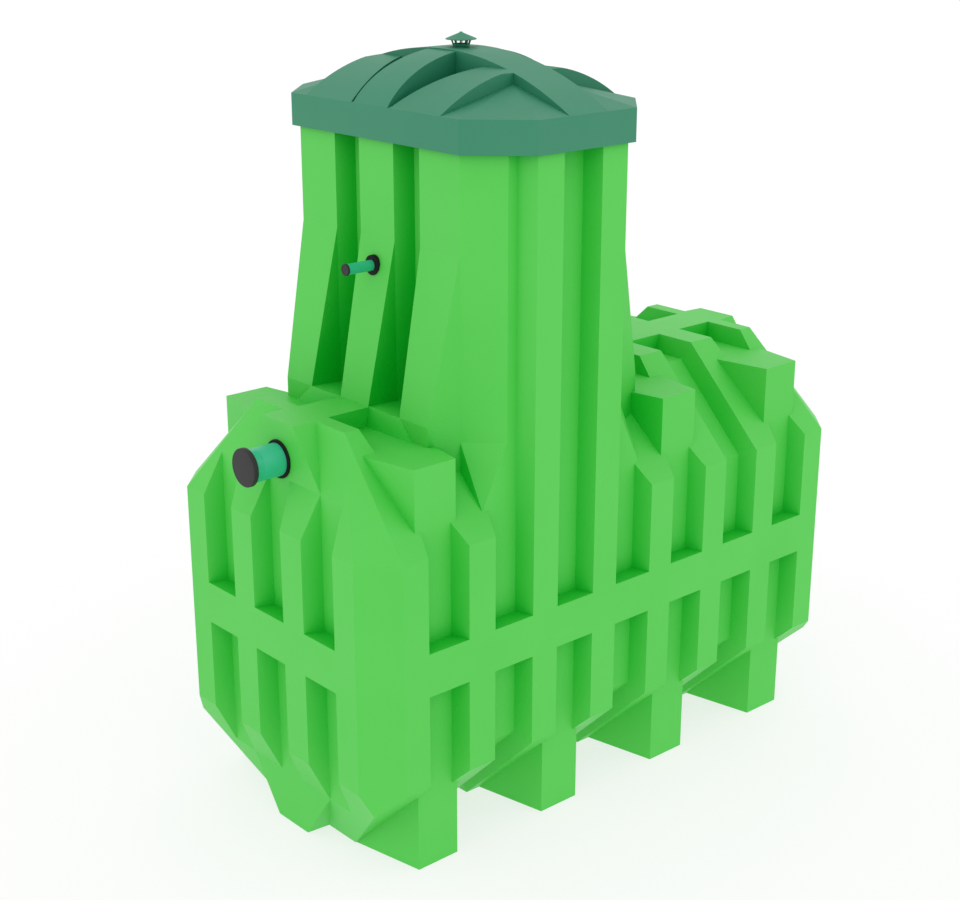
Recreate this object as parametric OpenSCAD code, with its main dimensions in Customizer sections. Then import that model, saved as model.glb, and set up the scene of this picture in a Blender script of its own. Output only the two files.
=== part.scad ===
// Septic tank: a ribbed rotomoulded tank with a square-shouldered neck and a domed lid.
// Millimetres, +Z up. The origin is on the floor, under the middle of the tank.
// +X runs along the tank, from the inlet end to the outlet end. The front is at -Y.

/* [Tank] */
// Length of the tank over its end ribs
tank_l = 2242; // [2200:1:2400]
// Width of the tank over its side ribs
tank_w = 1155; // [1120:1:1300]
// Height of the tank from the floor to the deck
tank_h = 1467; // [1440:1:1700]
// Thickness of the moulded wall
wall = 10; // [8:0.5:14]
// Height and depth of the sloped shoulders and chines along the sides
shoulder = 336.5; // [320:0.5:360]
// Distance that the sloped ends run in
end_run = 150; // [140:1:170]
// Length of the upright corner chamfers along the tank
corner_x = 106.5; // [95:0.5:115]
// Width of the upright corner chamfers across the tank
corner_y = 111.5; // [100:0.5:120]
// Height of the plain band around the middle of the tank
band_h = 149; // [120:1:180]

/* [Ribs] */
// Depth of the grooves between the ribs
rib_depth = 65; // [55:1:70]
// Length of the plain strip from the last side groove to the sloped end, along the base
end_strip = 55.85; // [50:0.05:62]
// Width of a side groove at its mouth
side_groove_w = 166.5; // [150:0.5:175]
// How far each wall of a side groove leans in
side_draft = 22; // [12:1:26]
// How much narrower the grooves are on the sloped chines and shoulders
chine_step = 3; // [2:0.5:4]
// Distance between neighbouring grooves on the ends
end_pitch = 278; // [272:1:284]
// Width of an end groove at its mouth
end_groove_w = 165; // [150:1:170]
// How far each wall of an end groove leans in
end_draft = 25; // [12:1:28]
// Half width of the plain ridge along the middle of the deck and of the base
ridge_half_w = 80; // [70:1:90]
// How far the walls of the deck pockets lean in
pocket_draft = 13; // [8:1:16]

/* [Feet and lugs] */
// How fast a side foot widens towards the middle, in mm per mm
foot_flare = 0.19; // [0.1:0.01:0.22]
// How fast a lug widens towards the middle, in mm per mm
lug_flare = 0.18; // [0.1:0.01:0.22]
// Half width of an end foot or pipe boss at the flat base or deck
boss_tip_half_w = 83; // [75:1:90]
// Half width of an end foot or pipe boss where it leaves the groove
boss_root_half_w = 221; // [200:1:230]
// Half width of an end foot or pipe boss at its inner edge
boss_inner_half_w = 91.5; // [84:0.5:96]

/* [Neck] */
// Length of the corner chamfers of the neck
neck_chamfer = 170; // [150:1:180]
// Height of the rim that the lid rests on, over the deck
neck_h = 948.2; // [900:0.1:980]
// Distance from the middle to the near edge of a groove on the neck's ends
neck_groove_near = 88; // [80:1:95]
// Distance from the middle to the far edge of a groove on the neck's ends
neck_groove_far = 217; // [205:1:225]
// Height over the deck at which the ribs on the neck's ends start to flare
flare_h = 533; // [500:1:560]
// How fast the flared outer ribs narrow as they run out, in mm per mm on each side
flare_draft = 0.18; // [0.1:0.01:0.22]
// Slant of an outer flare on its corner side, seen from above
corner_flare_draft = 0.26; // [0.1:0.01:0.35]
// How fast the flared middle rib narrows as it runs out, in mm per mm on each side
middle_flare_draft = 0.12; // [0.08:0.01:0.2]

/* [Lid] */
// How far the lid overhangs the neck
lid_overhang = 18; // [16:0.5:24]
// Extra overhang of the lid at its two ends
lid_end_slack = 2; // [1:0.5:4]
// Depth of the skirt of the lid
lid_skirt_h = 106.8; // [90:0.1:120]
// Thickness of the lid's skin
lid_wall = 6; // [5:0.5:8]
// Thickness of the flange that rests on the neck
lid_flange_t = 10; // [8:0.5:12]
// Width of the flange that rests on the neck
lid_flange_w = 110; // [100:1:120]
// Rise of the long arch and of the middle cross arch
arch_rise = 156; // [148:1:160]
// Rise of the two outer cross arches
side_arch_rise = 120; // [112:1:126]
// Half width of the long arch
spine_half_w = 82; // [76:1:88]
// Half width of the middle cross arch where it meets the spine
cross_half_w = 68; // [60:1:80]
// Half width of the middle cross arch at the rim
cross_rim_half_w = 87; // [80:1:90]
// How full the middle cross arch is: its ellipse's upright half axis
cross_fullness = 270; // [240:5:320]
// Distance from the middle to the outer edge of an outer cross arch
side_arch_far = 342; // [335:1:350]
// Distance from the middle to the inner edge of an outer cross arch at the rim
side_arch_near = 98; // [94:1:104]
// Distance from the middle to the inner edge of an outer cross arch at the long arch
side_arch_root = 210; // [200:1:255]
// Rise of the corner panels at their inner corner
corner_rise = 73; // [65:1:80]
// Rise of the pocket floors between the arches
pocket_rise = 50; // [40:1:60]

/* [Vent] */
// Outer diameter of the vent's collar
vent_d = 50; // [46:1:54]
// Height of the vent's collar over the crown of the lid
vent_collar_h = 3; // [2:0.5:8]
// Height of the open cage of the vent
vent_cage_h = 21; // [18:1:26]
// Outer diameter of the cage at its foot
vent_cage_d = 54; // [50:1:56]
// Outer diameter of the cage at its top
vent_cage_top_d = 66; // [62:1:72]
// Number of posts in the cage
vent_posts_n = 8; // [6:1:10]
// Width of a post
vent_post_w = 5; // [4:0.5:7]
// Diameter of the rain cap
vent_cap_d = 103; // [96:1:110]
// Height of the rain cap
vent_cap_h = 24; // [20:1:30]

/* [Pipes] */
// Outer diameter of the inlet and outlet pipes
pipe_d = 110; // [100:1:114]
// Wall thickness of the inlet and outlet pipes
pipe_wall = 3.4; // [2.7:0.1:4.2]
// Depth of the inlet and outlet pipes' axis under the deck
pipe_drop = 129; // [125:1:133]
// Distance from the gasket's seat to the outer end of a pipe
pipe_reach = 134; // [110:1:160]
// Outer diameter of the rubber gasket
gasket_d = 129; // [122:1:132]
// Thickness of the rubber gasket
gasket_t = 9; // [6:0.5:12]
// Outer diameter of the end cap on a pipe
cap_d = 128; // [122:1:132]
// Depth of the end cap's rim
cap_rim = 14; // [10:1:18]
// Thickness of the end cap's disc
cap_t = 4; // [3:0.5:5]
// Outer diameter of the cable and air duct on the neck
duct_d = 36; // [32:1:38]
// Wall thickness of the duct
duct_wall = 2.4; // [2:0.1:3]
// Height of the duct's axis over the deck
duct_h = 446; // [420:1:470]
// Distance from the neck's flat face to the outer end of the duct
duct_reach = 134; // [110:1:150]
// Outer diameter of the duct's flange
duct_flange_d = 66; // [60:1:72]
// Thickness of the duct's flange where it is thinnest
duct_flange_t = 4; // [3:0.5:8]
// Outer diameter of the duct's end plug
plug_d = 40; // [39:0.5:42]
// Depth of the duct's end plug
plug_rim = 6; // [5:1:14]
// Clearance of a pipe in its hole, all round
pipe_clear = 0.3; // [0.2:0.1:0.5]

/* [Hidden] */
$fn = 96;
arch_fn = 480;

tank_green = [0.36, 0.80, 0.34];
lid_green = [0.30, 0.56, 0.45];
pipe_teal = [0.20, 0.71, 0.51];
rubber_black = [0.16, 0.16, 0.17];

// Room that a cutting block reaches past what it cuts
past = 40;
// Size of a cutting block that stands for a half-space
vast = 4000;

half_l = tank_l / 2;
half_w = tank_w / 2;
chine_z = shoulder;
shoulder_z = tank_h - shoulder;
band_z0 = (tank_h - band_h) / 2;
band_z1 = (tank_h + band_h) / 2;
deck_half_l = half_l - end_run;
deck_half_w = half_w - shoulder;
flat_half_l = half_l - corner_x;
flat_half_w = half_w - corner_y;
side_pitch = (deck_half_l - end_strip - side_groove_w / 2) / 3;
neck_top = tank_h + neck_h;
flare_top = tank_h + flare_h;
pipe_z = tank_h - pipe_drop;
duct_z = tank_h + duct_h;
side_floor_y = half_w - rib_depth;
chine_groove_w = side_groove_w - chine_step;
end_floor_x = half_l - rib_depth;
// Height over the base at which a groove's floor runs out on a chine
side_runout = shoulder - rib_depth;
end_runout = shoulder * (1 - rib_depth / end_run);

// Outward directions of the chine planes, for the tank's +X +Y quarter
side_chine_n = [0, 1, -1];
end_chine_n = [shoulder, 0, -end_run];
corner_a = [half_l, flat_half_w, shoulder];
corner_b = [flat_half_l, half_w, shoulder];
corner_c = [deck_half_l, deck_half_w, 0];
corner_n = cross(corner_c - corner_a, corner_b - corner_a);

// Middles of the seven side grooves, from the inlet end
groove_x = [for (i = [-3:3]) i * side_pitch];
foot_grooves = [0, 2, 4, 6];
through_grooves = [1, 3, 5];
lug_grooves = [0, 4, 6];
channel_groove = 5;
end_groove_y = [-end_pitch, 0, end_pitch];

neck_x = groove_x[2];
neck_half_l = side_pitch + side_groove_w / 2;
neck_x0 = neck_x - neck_half_l;
neck_x1 = neck_x + neck_half_l;
neck_flat_w = half_w - neck_chamfer;
// Length of chamfer that is left outside the corner grooves
notch_run = neck_chamfer - rib_depth;
// How far the ribs on the neck's ends flare out per mm of height
flare_slope = (side_pitch - side_groove_w) / (flare_top - tank_h);

lid_base = neck_top + lid_flange_t;
lid_half_l = neck_half_l + lid_overhang + lid_end_slack;
lid_half_w = half_w + lid_overhang;
crown_z = lid_base + arch_rise;

// Radius of an arch from half its span and its rise
function arch_r(half_span, rise) = (half_span * half_span + rise * rise) / (2 * rise);
// Growth of a groove's half width when its walls move in by the wall thickness
function widen(draft) = sqrt(1 + pow(draft / rib_depth, 2));
// Half width of a groove at a height over its floor, with its walls thickened by o
function groove_half(w, draft, up, o) = w / 2 - draft + draft * up / rib_depth + o * widen(draft);

// Everything on the far side of a plane through p, on the side that n points to
module beyond(p, n) {
  translate(p)
    rotate([0, acos(n.z / norm(n)), atan2(n.y, n.x)])
      translate([-vast, -vast, 0]) cube([2 * vast, 2 * vast, vast]);
}

// Moves a plane's point in by o along the plane's own direction
function inset(p, n, o) = p - o * n / norm(n);

// A cutter for one groove: cross-section along X and up, run along +Y from y0 to y1,
// with z = 0 at the outer skin
module groove_bar(w, draft, y0, y1, o) {
  floor_half = groove_half(w, draft, -o, o);
  mouth_half = groove_half(w, draft, rib_depth + past, o);
  translate([0, y1, 0]) rotate([90, 0, 0]) linear_extrude(y1 - y0)
    polygon([[-floor_half, -rib_depth - o], [floor_half, -rib_depth - o],
             [mouth_half, past], [-mouth_half, past]]);
}

// The same cutter standing upright on the front, from z0 to z1
module side_bar(z0, z1, o) {
  translate([0, -half_w, 0]) rotate([90, 0, 0])
    groove_bar(side_groove_w, side_draft, z0, z1, o);
}

// The same cutter laid on the front chine, from the base to the wall, a little narrower
module chine_bar(o) {
  translate([0, -deck_half_w, 0]) rotate([135, 0, 0])
    groove_bar(chine_groove_w, side_draft, -2 * past, shoulder * sqrt(2) + 2 * past, o);
}

// The same cutter laid under the base, from the ridge outwards
module base_bar(draft, o) {
  mirror([0, 0, 1]) mirror([0, 1, 0])
    groove_bar(side_groove_w, draft, ridge_half_w - o, half_w, o);
}

// What a groove that runs round the chine and the base takes away, in the front half
module round_groove(o) {
  side_bar(-past, band_z0 + o, o);
  chine_bar(o);
  base_bar(side_draft, o);
}

// What a groove that ends at a foot takes away, in the front half
module foot_groove(o) {
  side_bar(-past, band_z0 + o, o);
}

// All the grooves of the lower front half
module lower_grooves(o) {
  for (i = through_grooves) translate([groove_x[i], 0, 0]) round_groove(o);
  for (i = foot_grooves) translate([groove_x[i], 0, 0]) foot_groove(o);
}

// The deck's pockets and grooves of the upper front half, drawn upside down at the base
module upper_grooves(o) {
  for (i = lug_grooves) translate([groove_x[i], 0, 0]) {
    side_bar(-past, band_z0 + o, o);
    base_bar(pocket_draft, o);
  }
  translate([groove_x[channel_groove], 0, 0]) round_groove(o);
}

module turn_over() {
  translate([0, 0, tank_h]) mirror([0, 0, 1]) children();
}

module to_back() {
  mirror([0, 1, 0]) children();
}

module to_outlet() {
  mirror([1, 0, 0]) children();
}

module to_neck_outlet() {
  translate([2 * neck_x, 0, 0]) mirror([1, 0, 0]) children();
}

// A box from one corner to the other
module block(low, high) {
  translate(low) cube(high - low);
}

module base_plate() {
  for (side = [0, 1]) mirror([0, side, 0]) difference() {
    block([-deck_half_l, -deck_half_w, 0], [deck_half_l, 0, 2 * rib_depth]);
    for (i = through_grooves) translate([groove_x[i], 0, 0]) round_groove(0);
    difference() {
      block([-half_l, -half_w, wall], [half_l, past, 2 * rib_depth + past]);
      for (i = through_grooves) translate([groove_x[i], 0, 0]) round_groove(wall);
    }
  }
}

// Skin of the front chine between x0 and x1, with the grooves given as children:
// child 0 at the outer skin, child 1 at the inner skin
module chine_skin(x0, x1) {
  difference() {
    block([x0, -half_w, 0], [x1, -deck_half_w, chine_z]);
    beyond([0, -deck_half_w, 0], [0, -1, -1]);
    children(0);
    difference() {
      block([x0 - past, -half_w, -past], [x1 + past, past, chine_z + past]);
      beyond(inset([0, -deck_half_w, 0], [0, -1, -1], wall), [0, -1, -1]);
      children(1);
    }
  }
}

module side_chine() {
  chine_skin(-deck_half_l, deck_half_l) {
    lower_grooves(0);
    lower_grooves(wall);
  }
}

// Solid form of the inlet end's chine, moved in by o, reaching to x = inner
module end_chine_form(o, inner) {
  difference() {
    block([-half_l + o, -half_w + o, o], [inner, half_w - o, chine_z + o]);
    for (side = [-1, 1]) {
      beyond(inset([0, side * half_w, shoulder], [0, side, -1], o), [0, side, -1]);
      beyond(inset([-corner_a.x, side * corner_a.y, corner_a.z],
                   [-corner_n.x, side * corner_n.y, corner_n.z], o),
             [-corner_n.x, side * corner_n.y, corner_n.z]);
    }
    beyond(inset([-half_l, 0, shoulder], [-shoulder, 0, -end_run], o),
           [-shoulder, 0, -end_run]);
    for (y = end_groove_y) translate([0, y, 0]) end_bar(-past, chine_z + past, o);
  }
}

// A groove cutter standing upright on the inlet end
module end_bar(z0, z1, o) {
  translate([-half_l, 0, 0]) rotate([0, 0, -90]) rotate([90, 0, 0])
    groove_bar(end_groove_w, end_draft, z0, z1, o);
}

module end_chine() {
  difference() {
    intersection() {
      end_chine_form(0, -deck_half_l);
      block([-half_l, -half_w, 0], [-deck_half_l, half_w, chine_z]);
    }
    end_chine_form(wall, 0);
  }
}

// Outline of the front wall's face moved in by o, with its grooves
function front_face(o) = [for (x = groove_x, k = [[-1, 0], [-1, 1], [1, 1], [1, 0]])
  [x + k[0] * groove_half(side_groove_w, side_draft, k[1] == 1 ? -o : rib_depth - o, o),
   -half_w + o + k[1] * rib_depth]];

// The front wall as a solid, moved in by o and closed at y = back
module front_wall_form(o, end, back) {
  translate([0, 0, chine_z]) linear_extrude(shoulder_z - chine_z)
    polygon(concat([[-end, back], [-end, -half_w + o]], front_face(o),
                   [[end, -half_w + o], [end, back]]));
  translate([0, 0, band_z0 + o]) linear_extrude(band_h - 2 * o)
    polygon([[-end, back], [-end, -half_w + o], [end, -half_w + o], [end, back]]);
}

module side_wall() {
  inner = -half_w + 2 * rib_depth + wall;
  difference() {
    front_wall_form(0, flat_half_l, inner);
    for (i = through_grooves) translate([groove_x[i], 0, 0]) chine_bar(0);
    turn_over() translate([groove_x[channel_groove], 0, 0]) chine_bar(0);
    difference() {
      translate([0, 0, -past]) front_wall_inside();
      for (i = through_grooves) translate([groove_x[i], 0, 0]) chine_bar(wall);
      turn_over() translate([groove_x[channel_groove], 0, 0]) chine_bar(wall);
    }
  }
}

// The room inside the front wall, open at its top and bottom
module front_wall_inside() {
  translate([0, 0, chine_z]) linear_extrude(shoulder_z - chine_z + 2 * past)
    polygon(concat([[-half_l, 0], [-half_l, -half_w + wall]], front_face(wall),
                   [[half_l, -half_w + wall], [half_l, 0]]));
  translate([0, 0, band_z0 + wall + past]) linear_extrude(band_h - 2 * wall)
    polygon([[-half_l, 0], [-half_l, -half_w + wall], [half_l, -half_w + wall], [half_l, 0]]);
}

// Direction of an upright corner chamfer, of length 1, and its outline moved in by o
chamfer_n = [corner_y, corner_x] / norm([corner_y, corner_x]);
function corner_low(o) = [half_l - o, flat_half_w - o * (1 - chamfer_n.x) / chamfer_n.y];
function corner_high(o) = [flat_half_l - o * (1 - chamfer_n.y) / chamfer_n.x, half_w - o];

// Outline of the inlet end's face moved in by o, with its grooves, from front to back
function end_face(o, grooved) = concat(
  [[-corner_high(o).x, -corner_high(o).y], [-corner_low(o).x, -corner_low(o).y]],
  [for (y = grooved ? end_groove_y : [], k = [[-1, 0], [-1, 1], [1, 1], [1, 0]])
    [-half_l + o + k[1] * rib_depth,
     y + k[0] * groove_half(end_groove_w, end_draft, k[1] == 1 ? -o : rib_depth - o, o)]],
  [[-corner_low(o).x, corner_low(o).y], [-corner_high(o).x, corner_high(o).y]]);

module end_wall() {
  difference() {
    union() {
      translate([0, 0, chine_z]) linear_extrude(shoulder_z - chine_z)
        polygon(end_face(0, true));
      translate([0, 0, band_z0]) linear_extrude(band_h) polygon(end_face(0, false));
    }
    translate([0, 0, chine_z - past]) linear_extrude(shoulder_z - chine_z + 2 * past)
      polygon(concat([[0, -half_w + wall]], end_face(wall, true), [[0, half_w - wall]]));
    translate([0, 0, band_z0 + wall]) linear_extrude(band_h - 2 * wall)
      polygon(concat([[0, -half_w + wall]], end_face(wall, false), [[0, half_w - wall]]));
  }
}

// Front shoulder between x0 and x1, seen upside down at the base
module side_shoulder(x0, x1) {
  turn_over() chine_skin(x0, x1) {
    upper_grooves(0);
    upper_grooves(wall);
  }
}

// Plan of the neck moved in by o: its ends, grooves, corner notches and side ribs
function neck_quarter(o) = [
  [neck_x0 + o, -neck_groove_near + o],
  [neck_x0 + rib_depth + o, -neck_groove_near - end_draft + o],
  [neck_x0 + rib_depth + o, -neck_groove_far + end_draft - o],
  [neck_x0 + o, -neck_groove_far - o],
  [neck_x0 + o, -neck_flat_w + o * (sqrt(2) - 1)],
  [neck_x0 + notch_run + o * (sqrt(2) - 1), -side_floor_y + o],
  [neck_x - side_pitch + groove_half(side_groove_w, side_draft, -o, o), -side_floor_y + o],
  [neck_x - side_pitch + groove_half(side_groove_w, side_draft, rib_depth - o, o), -half_w + o],
  [neck_x - groove_half(side_groove_w, side_draft, rib_depth - o, o), -half_w + o],
  [neck_x - groove_half(side_groove_w, side_draft, -o, o), -side_floor_y + o]];
function flip_x(points) = [for (i = [len(points) - 1:-1:0])
  [2 * neck_x - points[i].x, points[i].y]];
function flip_y(points) = [for (i = [len(points) - 1:-1:0]) [points[i].x, -points[i].y]];
function neck_front(o) = concat(neck_quarter(o), flip_x(neck_quarter(o)));
function neck_plan(o) = concat(neck_front(o), flip_y(neck_front(o)));

module deck_half(x0, x1, grooves) {
  difference() {
    block([x0, -deck_half_w, tank_h - 2 * rib_depth], [x1, 0, tank_h]);
    turn_over() deck_cuts(grooves, 0);
    difference() {
      block([x0 - past, -half_w, shoulder_z], [x1 + past, past, tank_h - wall]);
      turn_over() deck_cuts(grooves, wall);
    }
    linear_extrude(2 * tank_h) polygon(neck_plan(0));
  }
}

// What the pockets in the deck take away, drawn upside down at the base
module deck_cuts(grooves, o) {
  for (i = grooves) translate([groove_x[i], 0, 0])
    if (i == channel_groove) round_groove(o); else base_bar(pocket_draft, o);
}

module deck(x0, x1, grooves) {
  for (side = [0, 1]) mirror([0, side, 0]) deck_half(x0, x1, grooves);
}

// Hole for a pipe through the inlet end
module pipe_hole() {
  translate([-half_l - past, 0, pipe_z]) rotate([0, 90, 0])
    cylinder(h = end_run + 2 * past, d = pipe_d + 2 * pipe_clear);
}

module end_shoulder() {
  difference() {
    turn_over() end_chine();
    pipe_hole();
  }
}

// One side foot in front of the chine, standing on the floor
module foot(flare, draft_w) {
  root = draft_w / 2 + flare * (side_floor_y - deck_half_w);
  difference() {
    linear_extrude(side_runout)
      polygon([[-draft_w / 2, -side_floor_y], [draft_w / 2, -side_floor_y],
               [root, -deck_half_w], [-root, -deck_half_w]]);
    beyond([0, -deck_half_w, 0], [0, 1, 1]);
  }
}

module front_foot_row() {
  for (i = foot_grooves) translate([groove_x[i], 0, 0]) foot(foot_flare, side_groove_w);
}

// One lug over a side groove, with its top level with the deck's pockets
module lug() {
  turn_over() difference() {
    foot(lug_flare, side_groove_w);
    block([-half_l, -half_w, -past], [half_l, 0, rib_depth]);
  }
}

module front_lug_row() {
  for (i = lug_grooves) translate([groove_x[i], 0, 0]) lug();
}

// The end foot: a wedge in line with the middle groove's floor
module end_wedge() {
  a = [-end_floor_x, boss_tip_half_w, 0];
  b = [-end_floor_x, boss_root_half_w, end_runout];
  c = [-deck_half_l, boss_inner_half_w, 0];
  side_n = cross(b - a, c - a);
  difference() {
    block([-end_floor_x, -half_w, 0], [-deck_half_l, half_w, end_runout]);
    beyond([-half_l, 0, shoulder], [shoulder, 0, end_run]);
    beyond(a, side_n);
    mirror([0, 1, 0]) beyond(a, side_n);
  }
}

module pipe_boss() {
  difference() {
    turn_over() end_wedge();
    pipe_hole();
  }
}

// The room under the shoulders and the deck, which the neck opens into
module under_deck(x0, x1) {
  skin = wall * sqrt(2);
  translate([x0, 0, 0]) rotate([90, 0, 90]) linear_extrude(x1 - x0)
    polygon([[-side_floor_y + wall, chine_z], [side_floor_y - wall, chine_z],
             [side_floor_y - wall, half_w + shoulder_z - skin - side_floor_y + wall],
             [deck_half_w + wall - skin, tank_h - wall],
             [-deck_half_w - wall + skin, tank_h - wall],
             [-side_floor_y + wall, half_w + shoulder_z - skin - side_floor_y + wall]]);
}

// One flared rib on the neck's inlet end, between two distances from the middle.
// It stands on the tank's rib beside the neck and ends at that rib's far edge.
module flare(y0, y1, draft0, draft1) {
  out = neck_x0 - side_pitch + side_groove_w;
  difference() {
    intersection() {
      translate([0, y1, 0]) rotate([90, 0, 0]) linear_extrude(y1 - y0)
        polygon([[neck_x0, flare_top], [out, tank_h], [out, shoulder_z],
                 [neck_x0, shoulder_z]]);
      translate([0, 0, shoulder_z]) linear_extrude(flare_top - shoulder_z)
        polygon([[neck_x0, y0], [neck_x0, y1], [out, y1 - draft1 * (neck_x0 - out)],
                 [out, y0 + draft0 * (neck_x0 - out)]]);
    }
    tank_top();
    front_lug_row();
    to_back() front_lug_row();
  }
}

// The tank's bulk under the planes of its shoulders and its deck
module tank_top() {
  translate([-half_l, 0, 0]) rotate([90, 0, 90]) linear_extrude(tank_l)
    polygon([[-half_w, chine_z], [half_w, chine_z], [half_w, shoulder_z],
             [deck_half_w, tank_h], [-deck_half_w, tank_h], [-half_w, shoulder_z]]);
}

module neck_end_wall() {
  difference() {
    union() {
      intersection() {
        translate([0, 0, shoulder_z]) linear_extrude(neck_top - shoulder_z) difference() {
          polygon(neck_plan(0));
          polygon(neck_plan(wall));
        }
        block([neck_x0, -neck_flat_w, 0], [neck_x0 + rib_depth + wall, neck_flat_w, neck_top]);
      }
      flare(-neck_groove_near, neck_groove_near, middle_flare_draft, middle_flare_draft);
      for (side = [0, 1]) mirror([0, side, 0])
        flare(neck_groove_far, neck_flat_w, flare_draft, corner_flare_draft);
    }
    under_deck(neck_x0 - past, neck_x1);
  }
}

module neck_inlet_end() {
  difference() {
    neck_end_wall();
    duct_hole();
  }
}

module duct_hole() {
  translate([neck_x0 - 2 * past, 0, duct_z]) rotate([0, 90, 0])
    cylinder(h = 4 * past, d = duct_d + 2 * pipe_clear);
}

// Sloped filling between a corner groove of the neck and the shoulder
module neck_corner() {
  low = half_w + shoulder_z - side_floor_y;
  high = tank_h - rib_depth;
  a = [neck_x0, -side_floor_y, low];
  b = [neck_x0 + notch_run, -side_floor_y, high];
  c = [neck_x0, -neck_flat_w, high];
  facet_n = cross(c - a, b - a);
  difference() {
    union() {
      difference() {
        translate([0, 0, shoulder_z]) linear_extrude(high - shoulder_z)
          polygon([[neck_x0, -neck_flat_w], [neck_x0, -side_floor_y],
                   [neck_x0 + notch_run, -side_floor_y]]);
        beyond(a, facet_n.z > 0 ? facet_n : -facet_n);
      }
      difference() {
        translate([0, 0, shoulder_z]) linear_extrude(low - shoulder_z)
          polygon([[neck_x0, -half_w], [neck_x0 + side_draft, -side_floor_y],
                   [neck_x0, -side_floor_y]]);
        beyond([0, -half_w, shoulder_z], [0, -1, 1]);
      }
    }
    under_deck(neck_x0 - past, neck_x1 + past);
  }
}

module neck_side_wall() {
  difference() {
    intersection() {
      translate([0, 0, shoulder_z]) linear_extrude(neck_top - shoulder_z) difference() {
        polygon(neck_plan(0));
        polygon(neck_plan(wall));
      }
      block([neck_x0, -half_w, 0], [neck_x1, -neck_flat_w, neck_top]);
    }
    under_deck(neck_x0 - past, neck_x1 + past);
  }
  neck_corner();
  to_neck_outlet() neck_corner();
}

// Plan of the lid moved in by o
function lid_plan(o) = let (lx = lid_half_l - o, ly = lid_half_w - o,
                            c = neck_chamfer - o * (2 - sqrt(2)))
  [for (p = [[-lx, -ly + c], [-lx + c, -ly], [lx - c, -ly], [lx, -ly + c],
             [lx, ly - c], [lx - c, ly], [-lx + c, ly], [-lx, ly - c]]) [neck_x + p.x, p.y]];

module skirt() {
  difference() {
    translate([0, 0, lid_base - lid_skirt_h]) linear_extrude(lid_skirt_h)
      polygon(lid_plan(0));
    translate([0, 0, lid_base - lid_skirt_h - past])
      linear_extrude(lid_skirt_h + past - lid_flange_t) polygon(lid_plan(lid_wall));
    translate([0, 0, neck_top - past]) linear_extrude(lid_flange_t + 2 * past)
      polygon(lid_plan(lid_flange_w));
  }
}

// Arch across the lid: a slice of an elliptic bar that lies along Y, with this upright
// half axis and its skin moved in by o
module cross_arch(rise, upright, o) {
  across = lid_half_l / sqrt(1 - pow((upright - rise) / upright, 2));
  translate([neck_x, 0, lid_base + rise - upright]) rotate([90, 0, 0])
    scale([across - o, upright - o, 1])
      cylinder(h = 3 * lid_half_w, r = 1, center = true, $fn = arch_fn);
}

// Arch along the lid: a slice of a cylinder that lies along X, its skin moved in by o
module long_arch(o) {
  r = arch_r(lid_half_w, arch_rise);
  translate([neck_x, 0, crown_z - r]) rotate([0, 90, 0])
    cylinder(h = 3 * lid_half_l, r = r - o, center = true, $fn = arch_fn);
}

// Middle cross arch on the inlet side, as far as x1 from the middle of the lid
module middle_arch(x1, o) {
  rim = cross_rim_half_w - o;
  root = cross_half_w - o;
  intersection() {
    cross_arch(arch_rise, cross_fullness, o);
    translate([neck_x, 0, lid_base]) linear_extrude(arch_rise)
      polygon([[-lid_half_l, -rim], [-spine_half_w, -root], [x1, -root],
               [x1, root], [-spine_half_w, root], [-lid_half_l, rim]]);
  }
}

// Front outer cross arch on the inlet side, as far as x1 from the middle of the lid
module outer_arch(x1, o) {
  intersection() {
    cross_arch(side_arch_rise, arch_r(lid_half_l, side_arch_rise), o);
    long_arch(o);
    translate([neck_x, 0, lid_base]) linear_extrude(arch_rise)
      polygon([[-lid_half_l, -side_arch_near - o], [-spine_half_w, -side_arch_root - o],
               [x1, -side_arch_root - o], [x1, -side_arch_far + o],
               [-lid_half_l, -side_arch_far + o]]);
  }
}

// Front corner panel on the inlet side: three flat facets that meet at an inner corner
module corner_panel(o) {
  tip = [neck_x - spine_half_w, -side_arch_far, lid_base + corner_rise - o];
  rim = [[neck_x - lid_half_l, -side_arch_far], [neck_x - lid_half_l, -lid_half_w + neck_chamfer],
         [neck_x - lid_half_l + neck_chamfer, -lid_half_w], [neck_x - spine_half_w, -lid_half_w]];
  difference() {
    translate([0, 0, lid_base]) linear_extrude(corner_rise)
      polygon(concat(rim, [[tip.x, tip.y]]));
    for (i = [0:2]) {
      p = [rim[i].x, rim[i].y, lid_base - o];
      q = [rim[i + 1].x, rim[i + 1].y, lid_base - o];
      beyond(p, cross(q - p, tip - p));
    }
  }
}

// Front pocket floor between the arches on the inlet side
module pocket_floor(o) {
  rise = pocket_rise - o;
  difference() {
    translate([neck_x, 0, lid_base]) linear_extrude(pocket_rise)
      polygon([[-lid_half_l, -cross_rim_half_w], [-spine_half_w, -cross_half_w],
               [-spine_half_w, -side_arch_root], [-lid_half_l, -side_arch_near]]);
    beyond([neck_x - lid_half_l, 0, lid_base - o],
           [-pocket_rise, 0, lid_half_l - spine_half_w]);
  }
}

// Everything on the inlet side of the lid's dome, moved in by o, as far as x1
module dome_side(x1, o) {
  middle_arch(x1, o);
  for (side = [0, 1]) mirror([0, side, 0]) {
    outer_arch(x1, o);
    corner_panel(o);
    pocket_floor(o);
  }
}

module lid_side_panel() {
  difference() {
    dome_side(-spine_half_w, 0);
    translate([0, 0, -0.01]) dome_side(-spine_half_w + past, lid_wall);
  }
}

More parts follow.
